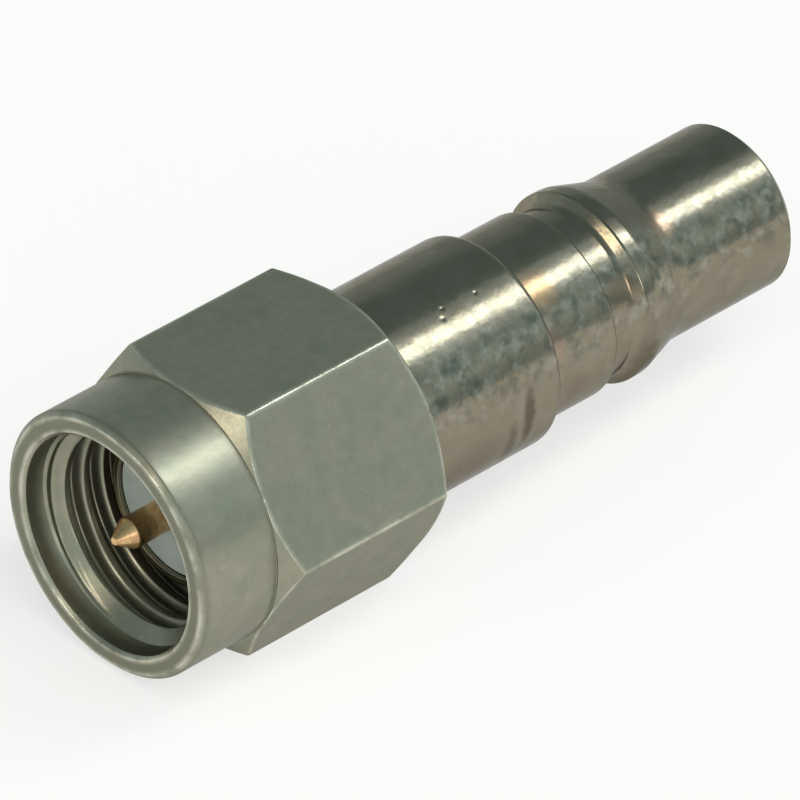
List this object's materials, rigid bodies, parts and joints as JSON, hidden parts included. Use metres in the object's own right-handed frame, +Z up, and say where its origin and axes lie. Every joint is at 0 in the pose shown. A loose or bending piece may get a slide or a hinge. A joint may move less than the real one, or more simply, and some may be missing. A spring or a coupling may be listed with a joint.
{
  "type": "sma connector",
  "caption": "In-line coaxial adapter: threaded plug with a turning hexagon coupling nut and a centre pin at one end, snap-lock jack with a slotted socket contact at the other.",
  "frame": {"origin": "on the surface that the nut lies on, under the middle of the adapter's length", "axes": "+X along the adapter's axis towards the jack's mouth, +Z up, with a flat of the nut at the bottom; +Y across, through two of the nut's corners"},
  "size_m": [0.0238, 0.0092, 0.008],
  "materials": {
    "nut_plating": "turned and milled brass with a satin white bronze plating",
    "body_plating": "turned brass with a bright white bronze plating",
    "spring_bronze": "bare spring bronze",
    "gold_plating": "gold plating",
    "ptfe": "turned PTFE",
    "silicone": "moulded silicone rubber"
  },
  "bodies": {
    "adapter_body": {"front_body": "body_plating", "jack_shell": "body_plating", "front_insulator": "ptfe", "rear_insulator": "ptfe", "centre_contact": "gold_plating", "face_gasket": "silicone"},
    "retaining_ring": {"retaining_ring": "spring_bronze"},
    "coupling_nut": {"coupling_nut": "nut_plating"}
  },
  "joints": [
    {"name": "nut_float", "type": "slide", "parent": "adapter_body", "child": "retaining_ring", "axis": [-1, 0, 0], "range_m": [0, 0.00025]},
    {"name": "nut_spin", "type": "hinge", "parent": "retaining_ring", "child": "coupling_nut", "pos_m": [-0.00615, 0, 0.004], "axis": [1, 0, 0], "continuous": true}
  ]
}
